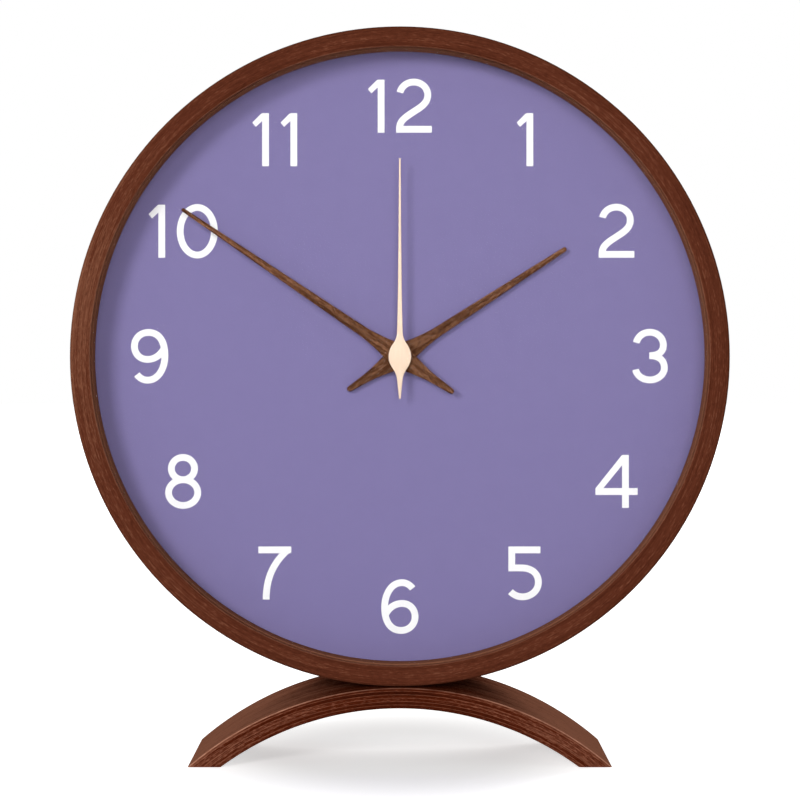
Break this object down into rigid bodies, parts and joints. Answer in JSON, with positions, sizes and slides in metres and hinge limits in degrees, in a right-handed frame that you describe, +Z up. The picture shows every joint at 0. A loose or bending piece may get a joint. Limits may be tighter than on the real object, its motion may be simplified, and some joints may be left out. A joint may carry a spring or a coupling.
{
  "type": "table clock",
  "caption": "Round wooden table clock on a bent-wood arch base, with a flat dial, slim wooden hands, a glass front and a battery quartz movement behind the dial.",
  "frame": {"origin": "on the floor, under the middle of the clock in width and depth", "axes": "+Z up, the dial faces -Y, +X to the viewer's right"},
  "size_m": [0.2, 0.04, 0.2243],
  "materials": {
    "walnut": "satin",
    "walnut_strip": "satin",
    "hand_wood": "satin",
    "dial_paint": "matte paint",
    "champagne_metal": "satin",
    "clear_glass": "polished",
    "rear_board": "matte",
    "black_plastic": "matte",
    "white_plastic": "satin",
    "steel": "satin",
    "copper": "satin",
    "magnet": "matte",
    "circuit_board": "matte",
    "cell_wrap": "plain sleeve"
  },
  "bodies": {
    "clock_body": {"frame_ring": "walnut", "front_glass": "clear_glass", "spacer_ring": "walnut_strip", "dial_plate": "dial_paint", "retainer_ring": "walnut_strip", "back_panel": "rear_board", "back_panel_screw_1": "steel", "back_panel_screw_2": "steel", "back_panel_screw_3": "steel", "back_panel_screw_4": "steel", "base_arch": "walnut", "base_screw_front": "steel", "base_screw_back": "steel", "movement_case": "black_plastic", "movement_cover": "black_plastic", "middle_plate": "white_plastic", "movement_screw_left": "steel", "movement_screw_right": "steel", "stator_plate": "steel", "coil_core": "steel", "coil_bobbin": "white_plastic", "coil_winding": "copper", "circuit_board": "circuit_board", "driver_chip": "black_plastic", "quartz_crystal": "steel", "contact_positive": "steel", "contact_negative": "steel"},
    "minute": {"centre_wheel": "white_plastic", "minute_hand": "hand_wood"},
    "hour": {"hour_wheel": "white_plastic", "hour_hand": "hand_wood"},
    "setting": {"motion_wheel": "white_plastic", "setting_knob": "black_plastic"},
    "third": {"third_wheel": "white_plastic"},
    "second": {"second_wheel": "white_plastic", "second_hand": "champagne_metal"},
    "fifth": {"fifth_wheel": "white_plastic"},
    "rotor": {"rotor_pinion": "white_plastic", "rotor_magnet": "magnet"},
    "battery": {"battery_cell": "cell_wrap"}
  },
  "joints": [
    {"name": "minute_turn", "type": "hinge", "parent": "clock_body", "child": "minute", "pos_m": [0, 0, 0.1243], "axis": [0, 1, 0], "continuous": true},
    {"name": "hour_turn", "type": "hinge", "parent": "clock_body", "child": "hour", "pos_m": [0, 0, 0.1243], "axis": [0, 1, 0], "continuous": true},
    {"name": "knob_turn", "type": "hinge", "parent": "clock_body", "child": "setting", "pos_m": [-0.01039, 0, 0.1303], "axis": [0, 1, 0], "continuous": true},
    {"name": "third_turn", "type": "hinge", "parent": "clock_body", "child": "third", "pos_m": [0.00866, 0, 0.1293], "axis": [0, 1, 0], "continuous": true},
    {"name": "second_turn", "type": "hinge", "parent": "clock_body", "child": "second", "pos_m": [0, 0, 0.1243], "axis": [0, 1, 0], "continuous": true},
    {"name": "fifth_turn", "type": "hinge", "parent": "clock_body", "child": "fifth", "pos_m": [-0.00091, 0, 0.13466], "axis": [0, 1, 0], "continuous": true},
    {"name": "rotor_turn", "type": "hinge", "parent": "clock_body", "child": "rotor", "pos_m": [-0.00091, 0, 0.14166], "axis": [0, 1, 0], "continuous": true},
    {"name": "battery_slide", "type": "slide", "parent": "clock_body", "child": "battery", "axis": [0, 1, 0], "range_m": [0, 0.03]}
  ],
  "couplings": [
    {"joint": "hour_turn", "follows": "minute_turn", "ratio": 0.083333},
    {"joint": "knob_turn", "follows": "minute_turn", "ratio": -0.33333},
    {"joint": "third_turn", "follows": "minute_turn", "ratio": -8},
    {"joint": "second_turn", "follows": "minute_turn", "ratio": 60},
    {"joint": "fifth_turn", "follows": "minute_turn", "ratio": -300},
    {"joint": "rotor_turn", "follows": "minute_turn", "ratio": 1800}
  ]
}
